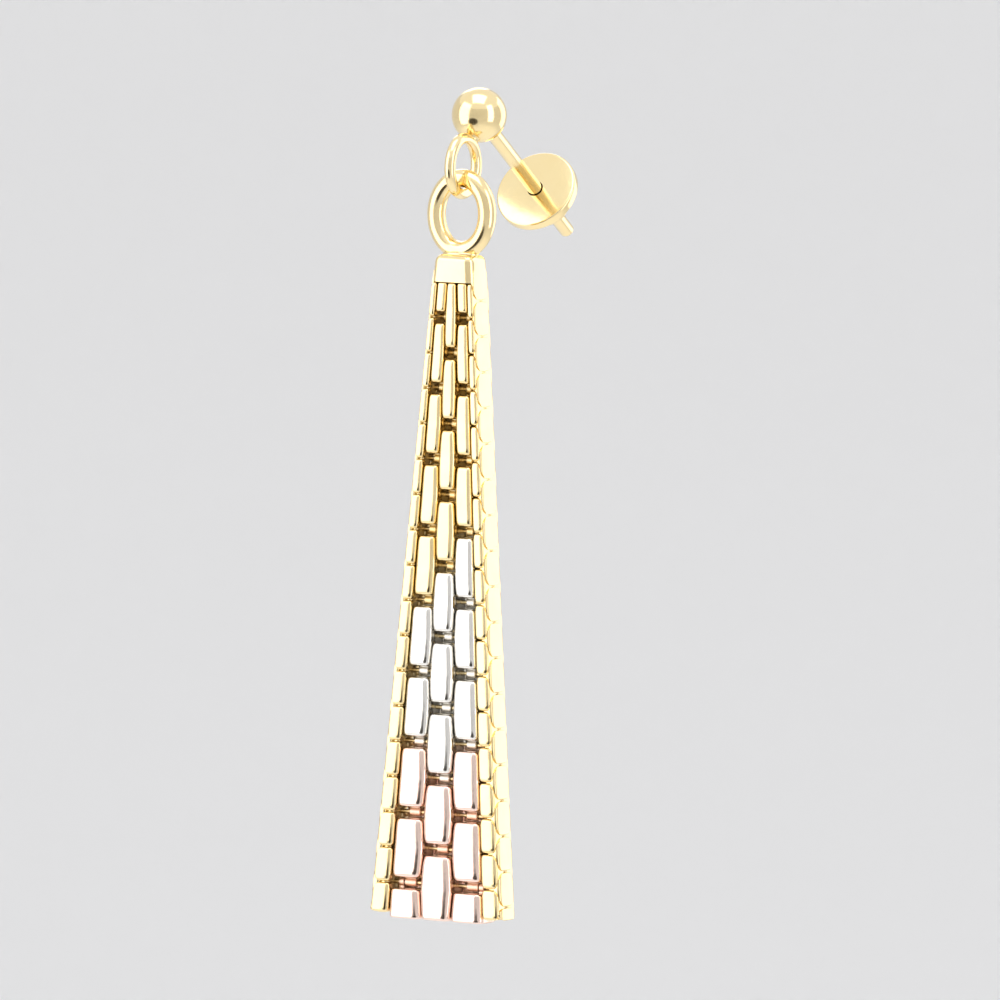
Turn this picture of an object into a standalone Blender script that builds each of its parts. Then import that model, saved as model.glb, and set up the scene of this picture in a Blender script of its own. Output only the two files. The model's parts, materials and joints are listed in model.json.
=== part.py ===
"""Drop earring: a ball post with a loop, and a tapered panel of brick links that hangs from it on a ring.

Metres, +Z up. The front faces -Y and the post runs back and down, towards +Y. The origin is where the
post leaves the back of the ball. The drop hangs from its pivot, the lowest point of the loop's wire.
"""

import math

import bmesh
import bpy
from mathutils import Matrix, Vector

# Ball, post and loop
BALL_DIAMETER = 0.0030
POST_DIAMETER = 0.0008
POST_LENGTH = 0.0110
POST_TIP_CHAMFER = 0.00015
POST_DROOP = math.radians(32)
LOOP_OUTER_DIAMETER = 0.0036
LOOP_WIRE_DIAMETER = 0.0006
LOOP_SOLDER_DEPTH = 0.0001

# Ear nut, a plain turned piece on the post
NUT_DISC_DIAMETER = 0.0046
NUT_DISC_THICKNESS = 0.0006
NUT_HUB_DIAMETER = 0.0022
NUT_HUB_LENGTH = 0.0016
NUT_CLEARANCE = 0.00005
POST_PAST_NUT = 0.0024

# Ring and cap at the top of the drop
RING_WIDTH = 0.0041
RING_HEIGHT = 0.0049
RING_WIRE_DIAMETER = 0.0010
LINK_CLEARANCE = 0.00005
RING_SOLDER_DEPTH = 0.0003
CAP_HEIGHT = 0.0015
CAP_ROUNDING = 0.0004

# Tapered panel of bricks between two scalloped edges
TOP_WIDTH = 0.0023
BOTTOM_WIDTH = 0.0082
PANEL_THICKNESS = 0.0021
FIELD_LENGTH = 0.0346
BOTTOM_SAG = 0.00025
SEAM = 0.00006
BRICKS_PER_COLUMN = 9

# Pins that cross the panel, and the tongues that hang from them
PIN_DIAMETER = 0.00022
PIN_CLEARANCE = 0.00004
TONGUE_WALL = 0.0001
TONGUE_CLEARANCE = 0.00004
TONGUE_ROOT = 0.00045

# Shares of the panel's half width, and of its thickness
CENTRE_SHARE = 0.237
EDGE_SHARE = 0.29
CENTRE_DEPTH_SHARE = 1.0
SIDE_DEPTH_SHARE = 0.93
EDGE_DEPTH_SHARE = 0.92
CAP_DEPTH_SHARE = 0.94
PIN_REACH_SHARE = 0.5
TONGUE_SHARE = 0.40
SIDE_TONGUE_SHARE = 0.18
PLATE_DEPTH_SHARE = 0.92
LINK_WAIST_SHARE = 0.84
NESTING_SHARE = 0.08

# Roundness exponents: 1 is an ellipse, and less is squarer
OUTLINE_ROUNDNESS = 0.22
SECTION_ROUNDNESS = 0.42
END_ROUNDNESS = 0.18

# Facets
BALL_SIDES = 16
BALL_BANDS = 12
TURNED_SIDES = 14
RING_SIDES = 16
WIRE_SIDES = 6
PIN_SIDES = 6
TONGUE_SIDES = 8
BRICK_SIDES = 12
BRICK_RINGS = 8
EDGE_SIDES = 8
EDGE_STEPS_PER_LINK = 4
CAP_ROUNDING_STEPS = 3
SHARP_ANGLE = math.radians(50)

# Points nearer than this are one point
MERGE_DISTANCE = 0.000001

# Levels count half pitches down the panel from the cap. Bricks are counted down each column from 0:
# first_white and first_rose are the first of each metal, and offset is the level of the column's first cut.
LEVELS = 2 * BRICKS_PER_COLUMN
COLUMNS = {
    "left": {"side": -1, "first_white": 5, "first_rose": 7, "offset": 1},
    "centre": {"side": 0, "first_white": 4, "first_rose": 7, "offset": 0},
    "right": {"side": 1, "first_white": 4, "first_rose": 7, "offset": 1},
}
METALS = {
    "yellow_gold": {"colour": (0.89, 0.66, 0.28, 1.0), "roughness": 0.12},
    "white_gold": {"colour": (0.80, 0.78, 0.74, 1.0), "roughness": 0.12},
    "rose_gold": {"colour": (0.88, 0.55, 0.43, 1.0), "roughness": 0.12},
}


def clear_scene():
    """Removes every object that the file starts with."""
    for obj in list(bpy.data.objects):
        bpy.data.objects.remove(obj, do_unlink=True)


def make_collection(name, hidden=False):
    collection = bpy.data.collections.new(name)
    collection.hide_render = hidden
    bpy.context.scene.collection.children.link(collection)
    return collection


def make_metal(name, finish):
    material = bpy.data.materials.new(name)
    material.use_nodes = True
    shader = material.node_tree.nodes["Principled BSDF"]
    shader.inputs["Base Color"].default_value = finish["colour"]
    shader.inputs["Metallic"].default_value = 1.0
    shader.inputs["Roughness"].default_value = finish["roughness"]
    return material


def make_empty(name, collection, location=(0, 0, 0), rotation=(0, 0, 0)):
    empty = bpy.data.objects.new(name, None)
    empty.location = location
    empty.rotation_euler = rotation
    collection.objects.link(empty)
    return empty


def make_object(name, bm, collection, parent, material=None):
    """A mesh object from bm, shaded smooth with its sharp corners kept. It frees bm."""
    bmesh.ops.recalc_face_normals(bm, faces=bm.faces)
    mesh = bpy.data.meshes.new(name)
    bm.to_mesh(mesh)
    bm.free()
    mesh.shade_smooth()
    mesh.set_sharp_from_angle(angle=SHARP_ANGLE)
    obj = bpy.data.objects.new(name, mesh)
    obj.parent = parent
    collection.objects.link(obj)
    if material:
        mesh.materials.append(material)
    else:
        obj.hide_render = True
        obj.display_type = "WIRE"
    return obj


def add_boolean(obj, operation, other):
    modifier = obj.modifiers.new(operation.title() + " " + other.name, "BOOLEAN")
    modifier.operation = operation
    modifier.solver = "EXACT"
    modifier.object = other


def squared(value, roundness):
    """A sine or cosine pulled towards 1, which squares up the ellipse that it draws."""
    return math.copysign(abs(value) ** roundness, value)


def half_width(z, cap_top):
    """Half the panel's width at height z, from the cap's top to the foot of the bricks."""
    share = (cap_top - z) / (CAP_HEIGHT + FIELD_LENGTH)
    return (TOP_WIDTH + (BOTTOM_WIDTH - TOP_WIDTH) * share) / 2


def centre_limit(z, cap_top):
    """Half the centre column's width. It waves, because each brick bulges into its neighbours' gaps."""
    level = (cap_top - CAP_HEIGHT - z) * LEVELS / FIELD_LENGTH
    return half_width(z, cap_top) * CENTRE_SHARE * (1 - NESTING_SHARE * math.cos(math.pi * level))


def x_cylinder(radius, sides, left, right, z):
    """A cylinder along X from left to right at height z."""
    bm = bmesh.new()
    turn = Matrix.Rotation(math.radians(90), 4, "Y")
    place = Matrix.Translation(((left + right) / 2, 0, z))
    bmesh.ops.create_cone(
        bm,
        cap_ends=True,
        segments=sides,
        radius1=radius,
        radius2=radius,
        depth=right - left,
        matrix=place @ turn,
    )
    return bm


def torus(name, width, height, wire_diameter, collection, parent):
    """A closed ring of round wire in the XZ plane, with a corner of its outline at the top and bottom.

    Width and height are measured over the wire, whose thickness stays the same all round.
    """
    bpy.ops.mesh.primitive_torus_add(
        major_segments=RING_SIDES,
        minor_segments=WIRE_SIDES,
        major_radius=(height - wire_diameter) / 2,
        minor_radius=wire_diameter / 2,
    )
    obj = bpy.context.object
    obj.name = name
    obj.data.transform(Matrix.Rotation(math.radians(90), 4, "X"))
    for vertex in obj.data.vertices:
        vertex.co.x -= (height - width) / 2 * vertex.co.x / math.hypot(vertex.co.x, vertex.co.z)
    obj.data.shade_smooth()
    for old in list(obj.users_collection):
        old.objects.unlink(obj)
    collection.objects.link(obj)
    obj.parent = parent
    return obj


def turned(name, profile, collection, parent):
    """A body turned about +Y from (radius, distance along +Y) points, listed down its outer side."""
    mesh = bpy.data.meshes.new(name)
    points = [(radius, 0, -along) for radius, along in profile]
    closed = profile[0][0] > 0
    edges = [(i, i + 1) for i in range(len(points) - 1)]
    if closed:
        edges.append((len(points) - 1, 0))
    mesh.from_pydata(points, edges, [])
    obj = bpy.data.objects.new(name, mesh)
    collection.objects.link(obj)
    obj.parent = parent
    obj.rotation_euler = (math.radians(90), 0, 0)
    screw = obj.modifiers.new("Turn", "SCREW")
    screw.steps = TURNED_SIDES
    screw.render_steps = TURNED_SIDES
    screw.use_merge_vertices = True
    screw.merge_threshold = MERGE_DISTANCE
    return obj


def make_stud(parts, cutters, anchor, gold):
    """The ball, its post and the loop below it, soldered into one piece."""
    ball_radius = BALL_DIAMETER / 2
    bm = bmesh.new()
    bmesh.ops.create_uvsphere(
        bm,
        u_segments=BALL_SIDES,
        v_segments=BALL_BANDS,
        radius=ball_radius,
        matrix=Matrix.Translation((0, -ball_radius, 0)),
    )
    stud = make_object("ball_stud", bm, parts, anchor, gold)
    post_radius = POST_DIAMETER / 2
    post = turned(
        "post_blank",
        [
            (0, -ball_radius),
            (post_radius, -ball_radius),
            (post_radius, POST_LENGTH - POST_TIP_CHAMFER),
            (post_radius - POST_TIP_CHAMFER, POST_LENGTH),
            (0, POST_LENGTH),
        ],
        cutters,
        anchor,
    )
    post.hide_render = True
    post.display_type = "WIRE"
    add_boolean(stud, "UNION", post)
    loop = torus(
        "loop_blank", LOOP_OUTER_DIAMETER, LOOP_OUTER_DIAMETER, LOOP_WIRE_DIAMETER, cutters, anchor
    )
    loop.hide_render = True
    loop.display_type = "WIRE"
    loop.data.transform(Matrix.Rotation(math.radians(90), 4, "Z"))
    loop.location = loop_centre()
    loop.rotation_euler = (POST_DROOP, 0, 0)
    add_boolean(stud, "UNION", loop)


def loop_centre():
    """The loop's centre in the stud's own frame, where the post runs along +Y."""
    ball_radius = BALL_DIAMETER / 2
    drop = ball_radius + LOOP_OUTER_DIAMETER / 2 - LOOP_SOLDER_DEPTH
    return Vector((0, -ball_radius, -drop))


def pivot_point():
    """The lowest point of the loop's wire in world space, which the drop swings about."""
    tilt = Matrix.Rotation(-POST_DROOP, 3, "X")
    loop_radius = (LOOP_OUTER_DIAMETER - LOOP_WIRE_DIAMETER) / 2
    return tilt @ loop_centre() - Vector((0, 0, loop_radius))


def make_nut(parts, anchor, gold):
    """A plain friction nut on the post, its disc towards the ear."""
    bore = POST_DIAMETER / 2 + NUT_CLEARANCE
    back = POST_LENGTH - POST_PAST_NUT
    step = back - NUT_HUB_LENGTH
    front = step - NUT_DISC_THICKNESS
    disc = NUT_DISC_DIAMETER / 2
    hub = NUT_HUB_DIAMETER / 2
    profile = [(bore, front), (disc, front), (disc, step), (hub, step), (hub, back), (bore, back)]
    nut = turned("ear_nut", profile, parts, anchor)
    nut.data.materials.append(gold)


def make_edge(name, side, cap_top, field_top, collection, parent):
    """One edge of the panel: small links at half the brick pitch, fused and waisted where they meet."""
    step = FIELD_LENGTH / LEVELS
    top = field_top + step / 2
    bottom = field_top - FIELD_LENGTH + BOTTOM_SAG
    rings = round((top - bottom) / step * EDGE_STEPS_PER_LINK)
    bm = bmesh.new()
    bmesh.ops.create_cone(bm, cap_ends=True, segments=EDGE_SIDES, radius1=1, radius2=1, depth=1)
    upright = [edge for edge in bm.edges if abs(edge.verts[0].co.z - edge.verts[1].co.z) > 0.5]
    bmesh.ops.subdivide_edges(bm, edges=upright, cuts=rings - 1, use_grid_fill=True)
    for vertex in bm.verts:
        z = bottom + (vertex.co.z + 0.5) * (top - bottom)
        level = (field_top - z) / step
        swell = abs(math.cos(math.pi * level))
        girth = LINK_WAIST_SHARE + (1 - LINK_WAIST_SHARE) * swell
        wide = half_width(z, cap_top)
        reach = (wide * EDGE_SHARE - SEAM / 2) / 2
        middle = wide * (1 - EDGE_SHARE / 2) + SEAM / 4
        across = squared(vertex.co.x, SECTION_ROUNDNESS) * reach
        if across * side > 0:
            across *= girth
        deep = squared(vertex.co.y, SECTION_ROUNDNESS) * PANEL_THICKNESS * EDGE_DEPTH_SHARE / 2 * girth
        vertex.co = (side * middle + across, deep, z)
    return make_object(name, bm, collection, parent)


def make_frame(parts, cutters, pivot, gold):
    """The ring, the cap and the two edges, soldered into one piece.

    It returns the piece, the height of the cap's top and the height where the bricks start.
    """
    rise = LOOP_WIRE_DIAMETER / 2 + LINK_CLEARANCE + RING_WIRE_DIAMETER / 2
    ring_middle = rise - (RING_HEIGHT - RING_WIRE_DIAMETER) / 2
    ring = torus("ring_blank", RING_WIDTH, RING_HEIGHT, RING_WIRE_DIAMETER, cutters, pivot)
    ring.hide_render = True
    ring.display_type = "WIRE"
    ring.location = (0, 0, ring_middle)
    cap_top = ring_middle - RING_HEIGHT / 2 + RING_SOLDER_DEPTH
    field_top = cap_top - CAP_HEIGHT
    bm = bmesh.new()
    bmesh.ops.create_cube(bm, size=1)
    for vertex in bm.verts:
        z = cap_top + (vertex.co.z - 0.5) * CAP_HEIGHT
        across = math.copysign(half_width(z, cap_top), vertex.co.x)
        vertex.co = (across, vertex.co.y * PANEL_THICKNESS * CAP_DEPTH_SHARE, z)
    frame = make_object("drop_frame", bm, parts, pivot, gold)
    rounding = frame.modifiers.new("Rounding", "BEVEL")
    rounding.width = CAP_ROUNDING
    rounding.segments = CAP_ROUNDING_STEPS
    add_boolean(frame, "UNION", ring)
    for name, side in (("edge_left_blank", -1), ("edge_right_blank", 1)):
        edge = make_edge(name, side, cap_top, field_top, cutters, pivot)
        add_boolean(frame, "UNION", edge)
    return frame, cap_top, field_top


def make_pins(parts, cutters, pivot, gold, frame, cap_top, field_top):
    """The pins across the panel, one a level, and the bores that they lie in, by level."""
    bores = {}
    pin_radius = PIN_DIAMETER / 2
    for level in range(1, LEVELS):
        z = field_top - level * FIELD_LENGTH / LEVELS
        reach = half_width(z, cap_top) * (1 - EDGE_SHARE * PIN_REACH_SHARE)
        bm = x_cylinder(pin_radius, PIN_SIDES, -reach, reach, z)
        make_object(f"cross_pin_{level:02d}", bm, parts, pivot, gold)
        end = reach + PIN_CLEARANCE
        bm = x_cylinder(pin_radius + PIN_CLEARANCE, PIN_SIDES, -end, end, z)
        bores[level] = make_object(f"bore_{level:02d}", bm, cutters, pivot)
        add_boolean(frame, "DIFFERENCE", bores[level])
    return bores


def tongue_radius():
    return PIN_DIAMETER / 2 + PIN_CLEARANCE + TONGUE_WALL


def make_tongue(name, left, right, z, upward, collection, parent):
    """An eye round the pin at height z, with a root that runs into its brick above or below."""
    radius = tongue_radius()
    root = radius + TONGUE_CLEARANCE + TONGUE_ROOT
    bm = x_cylinder(radius, TONGUE_SIDES, left, right, z)
    for vertex in bm.verts:
        if (vertex.co.z - z) * upward > MERGE_DISTANCE:
            vertex.co.z += upward * root
    return make_object(name, bm, collection, parent)


def make_plate(name, bounds, top, bottom, depth, collection, parent):
    """The plate at a brick's back, which closes the gaps to the next bricks behind the pins."""
    front = tongue_radius() + TONGUE_CLEARANCE
    back = depth * PLATE_DEPTH_SHARE
    bm = bmesh.new()
    bmesh.ops.create_cube(bm, size=1)
    for vertex in bm.verts:
        z = top if vertex.co.z > 0 else bottom
        left, right = bounds(z)
        vertex.co = (right if vertex.co.x > 0 else left, back if vertex.co.y > 0 else front, z)
    return make_object(name, bm, collection, parent)


def make_brick(name, column, top_level, bottom_level, metal, shape):
    """One domed brick between two levels of its column, with its back plate.

    Each end that hangs on a pin has a tongue round it.
    """
    side = column["side"]
    cap_top = shape["cap_top"]
    field_top = shape["field_top"]
    step = FIELD_LENGTH / LEVELS
    gap = tongue_radius() + TONGUE_CLEARANCE
    is_first = top_level == 0
    is_last = bottom_level == LEVELS
    top = field_top - top_level * step - (SEAM if is_first else gap)
    bottom = field_top - bottom_level * step + (0 if is_last else gap)
    depth = PANEL_THICKNESS * (SIDE_DEPTH_SHARE if side else CENTRE_DEPTH_SHARE) / 2

    def bounds(z):
        """The brick's left and right limits at height z."""
        limit = centre_limit(z, cap_top)
        ends = [-limit, limit]
        if side:
            outer = half_width(z, cap_top) * (1 - EDGE_SHARE)
            ends = sorted((side * limit, side * outer))
        return ends[0] + SEAM / 2, ends[1] - SEAM / 2

    bm = bmesh.new()
    bmesh.ops.create_uvsphere(bm, u_segments=BRICK_SIDES, v_segments=BRICK_RINGS, radius=1)
    for vertex in bm.verts:
        sine = max(-1.0, min(1.0, vertex.co.z))
        cosine = math.sqrt(1 - sine * sine)
        angle = math.atan2(vertex.co.y, vertex.co.x)
        squarer = is_last and sine < 0 or is_first and sine > 0
        roundness = END_ROUNDNESS if squarer else OUTLINE_ROUNDNESS
        z = (top + bottom) / 2 + squared(sine, roundness) * (top - bottom) / 2
        girth = cosine**roundness
        left, right = bounds(z)
        across = squared(math.cos(angle), SECTION_ROUNDNESS) * girth * (right - left) / 2
        deep = squared(math.sin(angle), SECTION_ROUNDNESS) * girth * depth
        vertex.co = ((left + right) / 2 + across, deep, z)
    bmesh.ops.remove_doubles(bm, verts=bm.verts, dist=MERGE_DISTANCE)
    brick = make_object(name, bm, shape["parts"], shape["pivot"], metal)
    plate_top = field_top - top_level * step - SEAM / 2
    plate_bottom = field_top - bottom_level * step + (SEAM if is_last else SEAM / 2)
    plate = make_plate(
        name + "_plate", bounds, plate_top, plate_bottom, depth, shape["cutters"], shape["pivot"]
    )
    add_boolean(brick, "UNION", plate)
    pinned = []
    if not is_last:
        z = field_top - bottom_level * step
        left, right = bounds(z)
        middle = (left + right) / 2
        reach = (right - left) * TONGUE_SHARE / 2
        tongue = make_tongue(
            name + "_tail", middle - reach, middle + reach, z, 1, shape["cutters"], shape["pivot"]
        )
        add_boolean(brick, "UNION", tongue)
        pinned.append(bottom_level)
    elif bottom_level - top_level == 1:
        z = field_top - top_level * step
        left, right = bounds(z)
        middle = (left + right) / 2
        near = (right - left) * TONGUE_SHARE / 2 + TONGUE_CLEARANCE
        far = near + (right - left) * SIDE_TONGUE_SHARE
        ends = sorted((middle + side * near, middle + side * far))
        tongue = make_tongue(name + "_head", ends[0], ends[1], z, -1, shape["cutters"], shape["pivot"])
        add_boolean(brick, "UNION", tongue)
        pinned.append(top_level)
    if bottom_level - top_level == 2:
        pinned.append(top_level + 1)
    for level in pinned:
        add_boolean(brick, "DIFFERENCE", shape["bores"][level])


def make_bricks(metals, shape):
    """All bricks: the centre column starts at the cap, and the side columns are half a brick lower."""
    for column_name, column in COLUMNS.items():
        cuts = list(range(column["offset"], LEVELS, 2))
        levels = sorted({0, *cuts, LEVELS})
        for number, (top_level, bottom_level) in enumerate(zip(levels, levels[1:])):
            row = number + (0 if column["offset"] else 1)
            metal = metals["yellow_gold"]
            if number >= column["first_white"]:
                metal = metals["white_gold"]
            if number >= column["first_rose"]:
                metal = metals["rose_gold"]
            make_brick(f"brick_{column_name}_{row}", column, top_level, bottom_level, metal, shape)


def main():
    clear_scene()
    parts = make_collection("drop_earring")
    cutters = make_collection("cutters", hidden=True)
    metals = {name: make_metal(name, finish) for name, finish in METALS.items()}
    gold = metals["yellow_gold"]
    anchor = make_empty("stud_anchor", parts, rotation=(-POST_DROOP, 0, 0))
    pivot = make_empty("drop_pivot", parts, location=pivot_point())
    make_stud(parts, cutters, anchor, gold)
    make_nut(parts, anchor, gold)
    frame, cap_top, field_top = make_frame(parts, cutters, pivot, gold)
    bores = make_pins(parts, cutters, pivot, gold, frame, cap_top, field_top)
    shape = {
        "parts": parts,
        "cutters": cutters,
        "pivot": pivot,
        "bores": bores,
        "cap_top": cap_top,
        "field_top": field_top,
    }
    make_bricks(metals, shape)


main()
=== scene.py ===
"""Looks of a tricolour gold drop earring: a ball post with a loop, and a tapered panel of links on a ring.

Metres, +Z up, the front towards -Y. The post runs back and down from the origin, and the drop hangs from the
pivot at the lowest point of the loop.
"""
import json
import logging
import math
from collections.abc import Callable, Iterator, Sequence
from contextlib import contextmanager
from dataclasses import dataclass, field
from enum import Enum

import bmesh
import bpy
from mathutils import Matrix, Vector


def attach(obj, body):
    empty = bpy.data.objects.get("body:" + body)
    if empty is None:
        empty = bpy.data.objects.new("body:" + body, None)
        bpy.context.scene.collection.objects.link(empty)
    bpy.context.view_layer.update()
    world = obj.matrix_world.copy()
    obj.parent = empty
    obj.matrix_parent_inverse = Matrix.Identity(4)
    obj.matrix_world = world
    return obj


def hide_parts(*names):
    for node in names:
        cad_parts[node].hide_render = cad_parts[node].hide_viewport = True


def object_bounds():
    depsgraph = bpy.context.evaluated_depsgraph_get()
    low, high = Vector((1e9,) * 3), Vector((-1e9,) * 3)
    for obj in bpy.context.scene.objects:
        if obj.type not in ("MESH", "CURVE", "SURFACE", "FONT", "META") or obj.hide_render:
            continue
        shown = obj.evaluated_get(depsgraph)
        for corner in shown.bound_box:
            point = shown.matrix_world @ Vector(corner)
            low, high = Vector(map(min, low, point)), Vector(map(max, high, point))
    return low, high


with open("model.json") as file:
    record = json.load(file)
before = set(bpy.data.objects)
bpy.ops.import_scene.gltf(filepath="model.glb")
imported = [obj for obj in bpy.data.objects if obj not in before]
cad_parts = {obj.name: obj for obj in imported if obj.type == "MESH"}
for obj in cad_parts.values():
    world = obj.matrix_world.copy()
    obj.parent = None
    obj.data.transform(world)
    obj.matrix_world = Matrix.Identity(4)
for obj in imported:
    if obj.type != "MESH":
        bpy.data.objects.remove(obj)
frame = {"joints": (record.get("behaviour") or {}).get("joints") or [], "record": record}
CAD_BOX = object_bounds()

log = logging.getLogger("drop_earring")

MM = 0.001

# Points nearer than this are one point
MERGE = 0.000002

# Corners sharper than this stay crisp
SHARP_ANGLE = math.radians(40)

# Wires whose size more than one sub-assembly needs
LOOP_WIRE = 0.6 * MM
PIN_DIAMETER = 0.22 * MM

PIVOT = Vector(frame["joints"][0]["pos_m"])
EAR_MOUNT = next(mount for mount in frame["record"]["mounts"] if mount["name"] == "ear_pin")
POST_DIRECTION = Vector(EAR_MOUNT["axis"]).normalized()


# Tools of the bench


def take(obj: bpy.types.Object) -> None:
    """Puts one object alone in hand, selected and active.

    Args:
        obj: the object that the next operators work on.
    """
    bpy.ops.object.select_all(action="DESELECT")
    obj.select_set(True)
    bpy.context.view_layer.objects.active = obj


@contextmanager
def editing(obj: bpy.types.Object) -> Iterator[None]:
    """Opens one object in edit mode with nothing selected, and leaves edit mode afterwards.

    Args:
        obj: the mesh object to edit.
    """
    take(obj)
    bpy.ops.object.mode_set(mode="EDIT")
    bpy.ops.mesh.select_mode(type="FACE")
    bpy.ops.mesh.select_all(action="DESELECT")
    yield
    bpy.ops.object.mode_set(mode="OBJECT")


def pick_edges(obj: bpy.types.Object, wanted: Callable[[Vector, Vector], bool]) -> None:
    """Selects the edges whose two ends pass a test, in edit mode.

    Args:
        obj: the mesh object in edit mode.
        wanted: takes the places of an edge's ends and says whether it is selected.
    """
    bpy.ops.mesh.select_mode(type="EDGE")
    bpy.ops.mesh.select_all(action="DESELECT")
    shape = bmesh.from_edit_mesh(obj.data)
    for edge in shape.edges:
        edge.select_set(wanted(edge.verts[0].co, edge.verts[1].co))
    bmesh.update_edit_mesh(obj.data)


def pick_points(obj: bpy.types.Object, wanted: Callable[[Vector], bool]) -> None:
    """Selects the vertices whose place passes a test, in edit mode.

    Args:
        obj: the mesh object in edit mode.
        wanted: takes a vertex's place and says whether it is selected.
    """
    bpy.ops.mesh.select_mode(type="VERT")
    shape = bmesh.from_edit_mesh(obj.data)
    for vertex in shape.verts:
        vertex.select_set(wanted(vertex.co))
    shape.select_flush_mode()
    bmesh.update_edit_mesh(obj.data)


def apply_modifiers(obj: bpy.types.Object) -> None:
    """Applies every modifier of an object, in order."""
    take(obj)
    for modifier in list(obj.modifiers):
        bpy.ops.object.modifier_apply(modifier=modifier.name)


def settle(obj: bpy.types.Object) -> bpy.types.Object:
    """Moves an object's place, turn and scale into its mesh."""
    take(obj)
    bpy.ops.object.transform_apply(location=True, rotation=True, scale=True)
    return obj


def smooth(obj: bpy.types.Object) -> bpy.types.Object:
    """Shades an object smooth, with its real corners kept crisp."""
    take(obj)
    bpy.ops.object.shade_smooth_by_angle(angle=SHARP_ANGLE)
    return obj


def copied(master: bpy.types.Object, name: str) -> bpy.types.Object:
    """Copies a master with a mesh of its own.

    Args:
        master: the object that was modelled once.
        name: the copy's name.

    Returns:
        The copy, linked to the scene.
    """
    copy = master.copy()
    copy.data = master.data.copy()
    copy.name = name
    copy.data.name = name
    bpy.context.scene.collection.objects.link(copy)
    return copy


def joined(name: str, pieces: Sequence[bpy.types.Object]) -> bpy.types.Object:
    """Solders several meshes into one object.

    Args:
        name: the name of the result.
        pieces: the objects to join.

    Returns:
        The joined object.
    """
    take(pieces[0])
    for piece in pieces[1:]:
        piece.select_set(True)
    bpy.ops.object.join()
    whole = bpy.context.view_layer.objects.active
    whole.name = name
    whole.data.name = name
    return whole


def turned(name: str, profile: Sequence[tuple[float, float]], steps: int, place: Matrix) -> bpy.types.Object:
    """Turns a body on the lathe, by spinning its half profile once round the Z axis.

    Args:
        name: the object's name.
        profile: (radius, distance along the axis) points.
        steps: how many facets the turn has.
        place: where the turned body goes.

    Returns:
        The turned object, with its place in its mesh.
    """
    mesh = bpy.data.meshes.new(name)
    closed = profile[0][0] > 0
    edges = [(number, number + 1) for number in range(len(profile) - 1)]
    if closed:
        edges.append((len(profile) - 1, 0))
    mesh.from_pydata([(radius, 0, along) for radius, along in profile], edges, [])
    obj = bpy.data.objects.new(name, mesh)
    bpy.context.scene.collection.objects.link(obj)
    with editing(obj):
        bpy.ops.mesh.select_all(action="SELECT")
        bpy.ops.mesh.spin(steps=steps, angle=math.tau, center=(0, 0, 0), axis=(0, 0, 1))
        bpy.ops.mesh.select_all(action="SELECT")
        bpy.ops.mesh.remove_doubles(threshold=MERGE)
        bpy.ops.mesh.normals_make_consistent(inside=False)
    obj.matrix_world = place
    return settle(obj)


def along_axis(start: Vector, direction: Vector) -> Matrix:
    """A place whose Z axis runs from a start along a direction.

    Args:
        start: the origin of the place.
        direction: where its Z axis points.

    Returns:
        The place as a matrix.
    """
    return Matrix.Translation(start) @ direction.to_track_quat("Z", "Y").to_matrix().to_4x4()


def arc(
    centre: tuple[float, float], radius: float, start: float, end: float, count: int
) -> list[tuple[float, float]]:
    """Points on an arc of a profile.

    Args:
        centre: the arc's centre, as (radius, along).
        radius: the arc's own radius.
        start: the first angle in degrees, where 0 points away from the axis and 90 along it.
        end: the last angle in degrees.
        count: how many points it has.

    Returns:
        The points, in order.
    """
    points = []
    for number in range(count):
        angle = math.radians(start + (end - start) * number / (count - 1))
        points.append((max(centre[0] + radius * math.cos(angle), 0.0), centre[1] + radius * math.sin(angle)))
    return points


def squared(value: float, roundness: float) -> float:
    """A sine or cosine pulled towards 1, which squares up the ellipse that it draws."""
    return math.copysign(abs(value) ** roundness, value)


def smoothstep(value: float) -> float:
    """A soft step from 0 to 1."""
    value = min(max(value, 0.0), 1.0)
    return value * value * (3 - 2 * value)


def mark_shade_and_dullness(obj: bpy.types.Object, depth_at: Callable[[Vector], float]) -> None:
    """Writes how deep each point lies in a seam, where the material paints shade into the colour and makes
    the gold duller.

    Args:
        obj: the mesh object.
        depth_at: gives 0 on an open polished crown and 1 deep in a seam.
    """
    layer = obj.data.attributes.new("shade_and_dullness", "FLOAT", "POINT")
    layer.data.foreach_set("value", [depth_at(vertex.co) for vertex in obj.data.vertices])


# Finishes


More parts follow.
